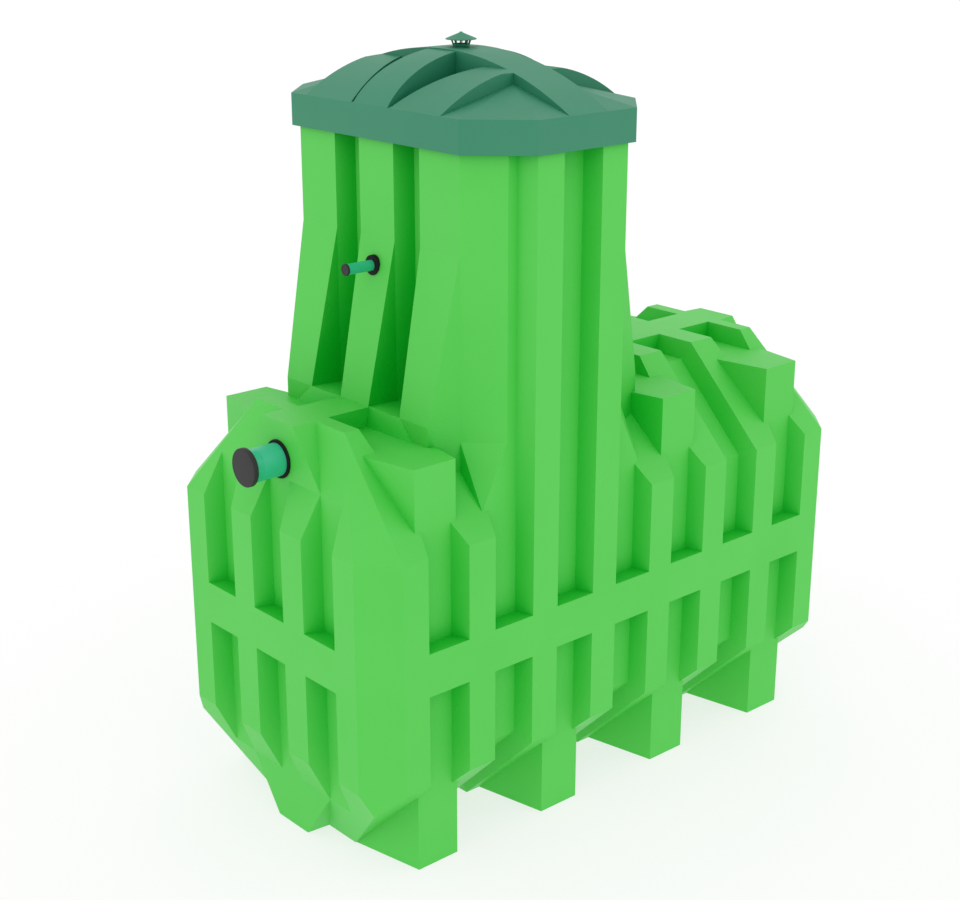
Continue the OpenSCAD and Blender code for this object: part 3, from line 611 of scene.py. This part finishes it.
class NodeTool:
    """Builds one Geometry Nodes tree and runs it once into a plain mesh."""

    def __init__(self, name: str) -> None:
        """Starts an empty tree.

        Args:
            name: The tree's name.
        """
        self.name = name
        self.tree = bpy.data.node_groups.new(name, "GeometryNodeTree")
        self.tree.interface.new_socket("Geometry", in_out="INPUT",
                                       socket_type="NodeSocketGeometry")
        self.tree.interface.new_socket("Geometry", in_out="OUTPUT",
                                       socket_type="NodeSocketGeometry")
        self.start = self.tree.nodes.new("NodeGroupInput")
        self.end = self.tree.nodes.new("NodeGroupOutput")
        self.values: dict[str, Any] = {}

    def size(self, name: str, value: Any) -> bpy.types.NodeSocket:
        """Adds a named input with its value.

        Args:
            name: The input's name.
            value: A float, an int or a material.

        Returns:
            The socket inside the tree that gives the value.
        """
        kinds = {float: "NodeSocketFloat", int: "NodeSocketInt"}
        kind = kinds.get(type(value), "NodeSocketMaterial")
        item = self.tree.interface.new_socket(name, in_out="INPUT", socket_type=kind)
        self.values[item.identifier] = value
        return self.start.outputs[name]

    def node(self, kind: str, settings: dict[str, Any] | None = None,
             values: dict[Any, Any] | None = None) -> bpy.types.Node:
        """Adds a node.

        Args:
            kind: The node's type.
            settings: Properties, set first.
            values: Numbers or sockets by the input's name or place.

        Returns:
            The node.
        """
        node = self.tree.nodes.new(kind)
        for key, value in (settings or {}).items():
            setattr(node, key, value)
        for key, value in (values or {}).items():
            if isinstance(value, bpy.types.NodeSocket):
                self.tree.links.new(value, node.inputs[key])
            else:
                node.inputs[key].default_value = value
        return node

    def vector(self, *values: Any) -> bpy.types.NodeSocket:
        """Joins three numbers or sockets into a vector."""
        return self.node("ShaderNodeCombineXYZ", values=dict(enumerate(values))).outputs[0]

    def maths(self, operation: str, *values: Any) -> bpy.types.NodeSocket:
        """Adds a Math node and returns its result."""
        return self.node("ShaderNodeMath", {"operation": operation},
                         dict(enumerate(values))).outputs[0]

    def run(self, name: str, geometry: bpy.types.NodeSocket, material: bpy.types.Material,
            place: Matrix) -> bpy.types.Object:
        """Ends the tree and turns its result into a plain mesh.

        Args:
            name: The new piece's name.
            geometry: What the tree has made.
            material: The material for Set Material.
            place: Where the result goes, applied to the mesh.

        Returns:
            The new piece.
        """
        finish = self.size("Finish", material)
        real = self.node("GeometryNodeRealizeInstances", values={0: geometry})
        coat = self.node("GeometryNodeSetMaterial", values={"Geometry": real.outputs[0],
                                                            "Material": finish})
        self.tree.links.new(coat.outputs[0], self.end.inputs[0])
        host = bpy.data.objects.new(self.name + "_host", bpy.data.meshes.new(self.name))
        bpy.context.scene.collection.objects.link(host)
        modifier = host.modifiers.new(self.name, "NODES")
        modifier.node_group = self.tree
        for identifier, value in self.values.items():
            modifier[identifier] = value
        graph = bpy.context.evaluated_depsgraph_get()
        mesh = bpy.data.meshes.new_from_object(host.evaluated_get(graph), depsgraph=graph)
        host.modifiers.remove(modifier)
        bpy.data.objects.remove(host)
        mesh.name = name
        mesh.transform(place)
        piece = bpy.data.objects.new(name, mesh)
        bpy.context.scene.collection.objects.link(piece)
        return piece


# ------------------------------------------------------------- sub-assemblies


@dataclass
class TankShell:
    """The moulded tank: base, walls, chines, shoulders, decks, feet, lugs, bosses and neck."""

    palette: Palette
    families: tuple[str, ...] = ("bottom", "chine", "wall", "shoulder", "deck", "feet", "foot",
                                 "lugs", "boss")
    neck_ends: tuple[str, ...] = ("neck_inlet_wall", "neck_outlet_wall")

    def build(self) -> None:
        """Dresses every node of the shell."""
        for name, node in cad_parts.items():
            if name.split("_")[-1] in self.families:
                # The neck's end walls take the copy with deeper painted shade.
                finish = self.palette.neck_end if name in self.neck_ends else None
                self.palette.dress(node, Slot.TANK, finish)
                LOG.info("%s: tank finish", name)


@dataclass
class CornerFillings:
    """Fillings that carry the upright corner faces down to where the chines' planes meet.

    Attributes:
        palette: The finishes.
        chamfer: How much narrower the end faces are than the tank, on each side, in metres.
        sunk: How deep the fillings' hidden backs lie in the tank, in metres.
    """

    palette: Palette
    chamfer: float = 0.1115
    sunk: float = 0.004

    def build(self) -> None:
        """Builds the four fillings as one piece."""
        low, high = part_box("inlet_chine")
        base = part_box("bottom")[0]
        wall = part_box("front_wall")[0]
        along = wall.x - low.x
        rise, run = high.z - low.z, base.x - low.x
        share = self.chamfer / (self.chamfer + along * rise / run)
        rim = (Vector((low.x, low.y + self.chamfer, high.z)), Vector((wall.x, low.y, high.z)),
               Vector((base.x, base.y, low.z)))
        tip = Vector((low.x + along * share, low.y + self.chamfer * (1.0 - share),
                      low.z + rise * (1.0 - along * share / run)))
        root = sum(rim, Vector()) / len(rim) + Vector((self.sunk,) * 3)
        work = bmesh.new()
        for along_sign in (1.0, -1.0):
            for across_sign in (1.0, -1.0):
                *ring, outer, inner = (
                    work.verts.new((place.x * along_sign, place.y * across_sign, place.z))
                    for place in (*rim, tip, root))
                for apex in (outer, inner):
                    for k, corner in enumerate(ring):
                        work.faces.new((corner, ring[(k + 1) % len(ring)], apex))
        settle(finished("lower_corner_fillings", work), Slot.TANK, self.palette)


@dataclass
class DomedLid:
    """The lid: skirt, long arch and the two side panels."""

    palette: Palette
    parts: tuple[str, ...] = ("lid_skirt", "lid_spine", "lid_inlet_panel", "lid_outlet_panel")

    def build(self) -> None:
        """Dresses the lid."""
        for name in self.parts:
            self.palette.dress(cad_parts[name], Slot.LID)
            LOG.info("%s: lid finish", name)


@dataclass
class VentCowl:
    """The vent on the crown: flanged collar, open cage of posts and a cone over it.

    Attributes:
        palette: The finishes.
        post_count: Number of posts in the cage.
        post_width: A post's width around the vent.
        post_depth: A post's depth towards the vent's middle.
        post_flare: How far the posts' tops stand out past the cage's node.
        post_share: A post's length as a share of the cage's height.
        foot_r: Outer radius of the cage's foot ring.
        ring_h: Height of the foot ring.
        ring_t: Thickness of the foot ring.
        rim_h: Height of the top ring.
        rim_insets: How far the top ring's inner and outer faces lie inside the posts' tops.
        rim_gap: How far the posts stand in from the flare.
        eave_t: Thickness of the cone's eave.
        eave_w: Width of the rolled edge under the eave.
        button_r: Radius of the button at the cone's tip.
        button_h: Height of the button.
        skin: Thickness of the cone.
        tube_r: Outer radius of the collar's tube.
        bore_r: Inner radius of the collar's tube.
        flange_t: Thickness of the collar's flange, and its gap under the cage.
        lathe: What turns the round pieces.
    """

    palette: Palette
    post_count: int = 10
    post_width: float = 0.0038
    post_depth: float = 0.0034
    post_flare: float = 0.0035
    post_share: float = 0.985
    foot_r: float = 0.027
    ring_h: float = 0.0075
    ring_t: float = 0.0058
    rim_h: float = 0.0022
    rim_insets: tuple[float, float] = (0.0065, 0.0004)
    rim_gap: float = 0.0006
    eave_t: float = 0.0026
    eave_w: float = 0.004
    button_r: float = 0.0042
    button_h: float = 0.0026
    skin: float = 0.0022
    tube_r: float = 0.025
    bore_r: float = 0.0216
    flange_t: float = 0.0015
    lathe: Lathe = field(default_factory=Lathe)

    def __post_init__(self) -> None:
        """Measures the cone's and the cage's nodes."""
        low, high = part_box("vent_cap")
        cage_low, cage_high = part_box("vent_cage")
        self.centre = Vector(((low.x + high.x) / 2, (low.y + high.y) / 2, 0.0))
        self.cap_r = (high.x - low.x) / 2
        self.cap_z, self.cap_h = low.z, high.z - low.z
        self.cage_z, self.cage_h = cage_low.z, cage_high.z - cage_low.z
        self.top_r = (cage_high.x - cage_low.x) / 2

    def build(self) -> None:
        """Builds the cone, the cage and the collar."""
        self.cap()
        self.cage()
        self.rings()
        self.collar()

    def turned(self, name: str, outline: list[Point], z: float,
               replaced: Iterable[str] = ()) -> None:
        """Turns an outline about the vent's axis, from a height upwards."""
        piece = self.lathe.turn(name, outline, self.centre + UP * z, UP)
        settle(piece, Slot.LID, self.palette, replaced)

    def cap(self) -> None:
        """A hollow cone with a rolled eave and a small button at its tip."""
        rise, edge = self.cap_h, self.cap_r
        lip, tip, under = self.eave_t, self.button_r, rise - self.button_h
        outline = rounded([(0.0, rise), (tip, rise), (tip + 0.0012, under),
                           (edge - 0.0016, lip + 0.0004), (edge, lip * 0.6),
                           (edge - 0.0004, 0.0), (edge - self.eave_w, 0.0),
                           (edge - self.eave_w - 0.0012, lip * 0.55),
                           (tip, under - self.skin), (0.0, under - self.skin)], 0.0008, 3)
        self.turned("cowl_cone", outline, self.cap_z, ["vent_cap"])

    def cage(self) -> None:
        """Leaning posts from the foot ring to the top ring."""
        reach = self.top_r + self.post_flare - self.post_depth / 2 - self.rim_gap
        tool = NodeTool("cage_posts")
        count = tool.size("Post Count", self.post_count)
        foot = tool.size("Foot Radius", self.foot_r - self.post_depth / 2)
        top = tool.size("Top Radius", reach)
        tall = tool.size("Height", self.cage_h)
        width = tool.size("Post Width", self.post_width)
        depth = tool.size("Post Depth", self.post_depth)
        lean = tool.maths("ARCTAN2", tool.maths("SUBTRACT", top, foot), tall)
        block = tool.node("GeometryNodeMeshCube", values={
            "Size": tool.vector(depth, width, tool.maths("MULTIPLY", tall, self.post_share)),
            "Vertices X": 2, "Vertices Y": 3, "Vertices Z": 5})
        middle = tool.maths("MULTIPLY", tool.maths("ADD", top, foot), 0.5)
        post = tool.node("GeometryNodeTransform", values={
            "Geometry": block.outputs["Mesh"],
            "Translation": tool.vector(middle, 0.0, tool.maths("MULTIPLY", tall, 0.5)),
            "Rotation": tool.vector(0.0, lean, 0.0)})
        line = tool.node("GeometryNodeMeshLine", values={"Count": count, "Offset": (0, 0, 0)})
        index = tool.node("GeometryNodeInputIndex").outputs[0]
        angle = tool.maths("MULTIPLY", tool.maths("ADD", index, 0.5),
                           tool.maths("DIVIDE", 2 * math.pi, count))
        posts = tool.node("GeometryNodeInstanceOnPoints", values={
            "Points": line.outputs[0], "Instance": post.outputs[0],
            "Rotation": tool.vector(0.0, 0.0, angle)})
        piece = tool.run("cowl_posts", posts.outputs[0], self.palette.materials[Slot.LID],
                         Matrix.Translation(self.centre + UP * self.cage_z))
        settle(piece, Slot.LID, self.palette, ["vent_cage"])

    def rings(self) -> None:
        """The cage's foot ring and its top ring."""
        foot = rounded([(self.foot_r - self.ring_t, 0.0), (self.foot_r, 0.0),
                        (self.foot_r, self.ring_h), (self.foot_r - self.ring_t, self.ring_h)],
                       0.0009, 3)
        self.turned("cowl_foot_ring", foot, self.cage_z)
        high = self.cage_h
        inner, outer = (self.top_r + self.post_flare - inset for inset in self.rim_insets)
        top = rounded([(inner, high - self.rim_h), (outer, high - self.rim_h), (outer, high),
                       (inner, high)], 0.0007, 3)
        self.turned("cowl_top_ring", top, self.cage_z)

    def collar(self) -> None:
        """The collar's tube with a soft flange on the crown."""
        low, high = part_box("vent_collar")
        wide = (high.x - low.x) / 2
        height = high.z - low.z
        flange = self.cage_z - self.flange_t - low.z
        outline = rounded([(self.bore_r, 0.0), (self.tube_r, 0.0),
                           (self.tube_r, flange - self.flange_t), (wide, flange - self.flange_t),
                           (wide - 0.001, flange), (self.tube_r + 0.0012, flange + 0.0003),
                           (self.tube_r, height), (self.bore_r, height)], 0.0008, 3)
        self.turned("cowl_collar", outline, low.z, ["vent_collar"])


@dataclass
class PipeStub:
    """One pipe end: the pipe, its lipped rubber seal and its push-on cap or its plug.

    Attributes:
        palette: The finishes.
        end: The tank's end that it is at.
        wall: Thickness of the pipe's wall.
        seal_gap: Gap between the pipe and its seal.
        cap_gap: Gap between the pipe and its cap.
        plug_gap: Gap between the pipe and its plug.
        disc: Thickness of the cap's and the plug's disc.
        mark: How far the insertion ring lies from the pipe's end.
        mark_depth: Depth of the insertion ring.
        rim: Width of the cap's raised rim.
        dish: Depth of the plug's dished middle.
        lathe: What turns the pieces.
    """

    palette: Palette
    end: End
    wall: float = 0.0034
    seal_gap: float = 0.0002
    cap_gap: float = 0.0003
    plug_gap: float = 0.0004
    disc: float = 0.004
    mark: float = 0.045
    mark_depth: float = 0.0005
    rim: float = 0.0085
    dish: float = 0.0012
    lathe: Lathe = field(default_factory=Lathe)

    def build(self) -> None:
        """Builds the seal, the pipe and the cap or the plug."""
        self.seal()
        self.pipe()
        if self.end is End.OUTLET:
            self.plug()
        else:
            self.cap()

    def measure(self, node: str) -> tuple[Vector, float, float]:
        """Middle of a node's inner face, its length along the pipe and its radius."""
        low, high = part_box(f"{self.end.prefix}_{node}")
        inner = high.x if self.end is End.INLET else low.x
        return (Vector((inner, (low.y + high.y) / 2, (low.z + high.z) / 2)),
                high.x - low.x, (high.z - low.z) / 2)

    def turned(self, name: str, outline: list[Point], node: str, slot: Slot) -> None:
        """Turns an outline about the pipe's axis, from a node's inner face outwards."""
        out = Vector((float(self.end.value), 0.0, 0.0))
        piece = self.lathe.turn(f"{self.end.prefix}_{name}", outline, self.measure(node)[0], out)
        settle(piece, slot, self.palette, [f"{self.end.prefix}_{node}"])

    def seal(self) -> None:
        """Rubber ring with a rounded outer bead, a dip and a thin lip on the pipe."""
        _, thick, radius = self.measure("gasket")
        bore = self.measure("pipe")[2] + self.seal_gap
        outline = rounded([(bore, 0.0), (radius, 0.0), (radius, thick * 0.52),
                           (radius - 0.0016, thick * 0.86), (radius - 0.0038, thick * 0.80),
                           (bore + 0.0030, thick * 0.66), (bore + 0.0014, thick),
                           (bore, thick)], 0.0012, 3)
        self.turned("seal_ring", outline, "gasket", Slot.RUBBER)

    def pipe(self) -> None:
        """Pipe with softened ends and a shallow insertion ring."""
        _, length, radius = self.measure("pipe")
        bore = radius - self.wall
        mark, sunk = length - self.mark, radius - self.mark_depth
        outline = rounded([(bore, 0.0), (radius - 0.001, 0.0), (radius, 0.003),
                           (radius, mark), (sunk, mark + 0.0008), (sunk, mark + 0.0024),
                           (radius, mark + 0.0032), (radius, length - 0.003),
                           (radius - 0.0012, length), (bore, length)], 0.0006, 2)
        self.turned("stub", outline, "pipe", Slot.PIPE)

    def cap(self) -> None:
        """Push-on cap with a groove inside its rim."""
        _, length, radius = self.measure("cap")
        bore = self.measure("pipe")[2] + self.cap_gap
        ring, back, groove = radius - self.rim, length - self.disc, length - 0.0005
        outline = rounded([(0.0, length), (ring - 0.0018, length), (ring - 0.0010, groove),
                           (ring + 0.0010, groove), (ring + 0.0018, length),
                           (radius - 0.0024, length), (radius, length - 0.0026),
                           (radius, 0.0022), (radius - 0.0012, 0.0), (bore + 0.0008, 0.0),
                           (bore, 0.0010), (bore, back), (0.0, back)], 0.0011, 4)
        self.turned("end_cap", outline, "cap", Slot.CAP)

    def plug(self) -> None:
        """Plug with a softened disc, a dished middle and a ribbed neck inside the pipe."""
        _, length, radius = self.measure("cap")
        neck, back = radius - self.wall - self.plug_gap, length - self.disc
        dished = length - self.dish
        outline = rounded([(0.0, dished), (neck - 0.010, dished), (neck - 0.008, length),
                           (radius - 0.0014, length), (radius, length - 0.0014),
                           (radius, back), (neck, back), (neck, back - 0.004),
                           (neck - 0.0012, back - 0.005), (neck - 0.0012, back - 0.008),
                           (neck, back - 0.009), (neck, 0.0015), (neck - 0.0015, 0.0),
                           (0.0, 0.0)], 0.0006, 2)
        self.turned("end_plug", outline, "cap", Slot.CAP)


@dataclass
class AirDuct:
    """The duct on the neck: tube, dished flange on the sloped rib and a plug.

    Attributes:
        palette: The finishes.
        wall: Thickness of the tube's wall.
        gap: Gap between the tube and what is pushed over it.
        disc: Thickness of the plug's disc.
        dish: Depth of the shallow dish in the plug's face.
        edge: How near a point lies to the flange's top or bottom to count as there.
        lathe: What turns the pieces.
    """

    palette: Palette
    wall: float = 0.0024
    gap: float = 0.0003
    disc: float = 0.0024
    dish: float = 0.0006
    edge: float = 0.002
    lathe: Lathe = field(default_factory=Lathe)

    def __post_init__(self) -> None:
        """Measures the tube's node."""
        low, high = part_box("duct_pipe")
        self.centre = Vector((0.0, (low.y + high.y) / 2, (low.z + high.z) / 2))
        self.inner, self.length = high.x, high.x - low.x
        self.radius = (high.z - low.z) / 2
        self.bore = self.radius + self.gap

    def build(self) -> None:
        """Builds the tube, the flange and the plug."""
        self.tube()
        self.flange()
        self.plug()

    def turned(self, name: str, outline: list[Point], inner: float) -> bpy.types.Object:
        """Turns an outline about the duct's axis, from an X outwards."""
        return self.lathe.turn(name, outline, self.centre + Vector((inner, 0.0, 0.0)),
                               Vector((-1.0, 0.0, 0.0)))

    def tube(self) -> None:
        """Tube with softened ends."""
        length, bore = self.length, self.radius - self.wall
        outline = rounded([(bore, 0.0), (self.radius, 0.0), (self.radius, length - 0.0015),
                           (self.radius - 0.0008, length), (bore, length)], 0.0006, 2)
        settle(self.turned("duct_tube", outline, self.inner), Slot.PIPE, self.palette,
               ["duct_pipe"])

    def flange(self) -> None:
        """Flange with a round edge and a raised boot, its back cut to the rib's slope."""
        low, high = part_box("duct_flange")
        wide = (high.z - low.z) / 2
        length = high.x - low.x
        bore = self.bore
        outline = rounded([(bore, 0.0), (wide, 0.0), (wide, length - 0.002),
                           (wide - 0.0022, length - 0.0006), (bore + 0.0062, length - 0.0016),
                           (bore + 0.0030, length), (bore, length)], 0.0012, 3)
        piece = self.turned("duct_boot", outline, high.x)
        self.trim(piece, low, high, length)
        settle(piece, Slot.RUBBER, self.palette, ["duct_flange"])

    def trim(self, piece: bpy.types.Object, low: Vector, high: Vector, length: float) -> None:
        """Moves the back of the flange onto the rib's sloped face.

        Args:
            piece: The flange.
            low: Lowest corner of the flange's node.
            high: Highest corner of the flange's node.
            length: The flange's full depth.
        """
        back = [v.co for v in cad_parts["duct_flange"].data.vertices]
        top = max(v.x for v in back if v.z > high.z - self.edge)
        bottom = max(v.x for v in back if v.z < low.z + self.edge)
        slope = (top - bottom) / (high.z - low.z)
        for vertex in piece.data.vertices:
            face = top + slope * (vertex.co.z - high.z)
            share = (high.x - vertex.co.x) / length
            vertex.co.x = face - share * (face - low.x)

    def plug(self) -> None:
        """Plug with a rounded rim and a shallow dish in its face."""
        low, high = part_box("duct_plug")
        length = high.x - low.x
        wide = (high.z - low.z) / 2
        back, dished = length - self.disc, length - self.dish
        outline = rounded([(0.0, dished), (wide - 0.0052, dished), (wide - 0.0038, length),
                           (wide - 0.0014, length), (wide, length - 0.0014), (wide, 0.001),
                           (wide - 0.0006, 0.0), (self.bore, 0.0), (self.bore, back),
                           (0.0, back)], 0.0006, 3)
        settle(self.turned("duct_end_plug", outline, high.x), Slot.CAP, self.palette,
               ["duct_plug"])


# --------------------------------------------------------------------- studio


@dataclass
class Studio:
    """Pale floor, soft light from all round and the camera.

    Attributes:
        floor_reach: Half the length of the floor's sides, in metres.
        floor_colour: The floor's colour.
        floor_glow: Light that the floor gives by itself.
        floor_gleam: Strength of the floor's reflections.
        sky_strength: Strength of the light from all round.
        lamp_place: Where the overhead lamp hangs, in metres.
        lamp_size: Length of the lamp's sides, in metres.
        lamp_power: The lamp's power, in watts.
        lamp_aim: The point that the lamp looks at, in metres.
        camera_place: Where the camera stands, in metres.
        camera_down: How far the camera looks down, in degrees.
        camera_turn: The camera's turn about the vertical, in degrees.
        camera_lens: The camera's focal length, in millimetres.
        camera_sensor: Width of the camera's sensor, in millimetres.
        camera_reach: How far the camera sees, in metres.
    """

    floor_reach: float = 90.0
    floor_colour: Colour = (0.28, 0.28, 0.279)
    floor_glow: float = 0.72
    floor_gleam: float = 0.1
    sky_strength: float = 1.0
    lamp_place: Place = (-1.0, -1.4, 7.5)
    lamp_size: float = 6.0
    lamp_power: float = 8.0
    lamp_aim: Place = (0.0, 0.0, 1.1)
    camera_place: Place = (-3.9643, -4.2720, 3.1301)
    camera_down: float = 18.97
    camera_turn: float = -41.422
    camera_lens: float = 63.432
    camera_sensor: float = 36.0
    camera_reach: float = 400.0

    def build(self) -> None:
        """Builds the whole studio."""
        bpy.context.scene.view_settings.view_transform = "Standard"
        self.camera()
        self.floor()
        self.sky()
        self.lamp()

    def camera(self) -> None:
        """The camera, aimed along the tank's near corner."""
        lens = bpy.data.cameras.new("camera")
        lens.lens = self.camera_lens
        lens.sensor_width = self.camera_sensor
        lens.clip_end = self.camera_reach
        eye = bpy.data.objects.new("camera", lens)
        eye.location = self.camera_place
        eye.rotation_euler = (math.radians(90.0 - self.camera_down), 0.0,
                              math.radians(self.camera_turn))
        bpy.context.scene.collection.objects.link(eye)
        bpy.context.scene.camera = eye

    def floor(self) -> None:
        """A wide pale floor with a faint unevenness."""
        work = bmesh.new()
        r = self.floor_reach
        work.faces.new([work.verts.new((x, y, 0.0))
                        for x, y in ((-r, -r), (r, -r), (r, r), (-r, r))])
        mesh = bpy.data.meshes.new("studio_floor")
        work.to_mesh(mesh)
        work.free()
        piece = bpy.data.objects.new("studio_floor", mesh)
        bpy.context.scene.collection.objects.link(piece)
        maker = NodeMaker("studio_floor")
        cloud = maker.noise(0.8, 2.0)
        colour = maker.mix(cloud, self.floor_colour,
                           tuple(0.985 * c for c in self.floor_colour))
        piece.data.materials.append(maker.finish(colour, 0.86 + 0.06 * cloud,
                                                 maker.bump(maker.noise(160.0), 0.00005),
                                                 Specular_IOR_Level=self.floor_gleam,
                                                 Emission_Color=(1.0, 1.0, 1.0, 1.0),
                                                 Emission_Strength=self.floor_glow))

    def sky(self) -> None:
        """Even white light from every side."""
        world = bpy.data.worlds.new("studio")
        world.use_nodes = True
        back = world.node_tree.nodes["Background"]
        back.inputs["Color"].default_value = (1.0, 1.0, 1.0, 1.0)
        back.inputs["Strength"].default_value = self.sky_strength
        bpy.context.scene.world = world

    def lamp(self) -> None:
        """A large soft lamp overhead that looks at the tank."""
        light = bpy.data.lights.new("overhead", "AREA")
        light.size = self.lamp_size
        light.energy = self.lamp_power
        lamp = bpy.data.objects.new("overhead", light)
        lamp.location = self.lamp_place
        aim = Vector(self.lamp_aim) - Vector(self.lamp_place)
        lamp.rotation_euler = aim.to_track_quat("-Z", "Y").to_euler()
        bpy.context.scene.collection.objects.link(lamp)


def main() -> None:
    """Builds the scene in order."""
    logging.basicConfig(level=logging.INFO, format="%(name)s: %(message)s")
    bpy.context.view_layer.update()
    Studio().build()
    palette = Palette()
    TankShell(palette).build()
    CornerFillings(palette).build()
    DomedLid(palette).build()
    VentCowl(palette).build()
    for end in End:
        PipeStub(palette, end).build()
    AirDuct(palette).build()


if __name__ == "__main__":
    main()
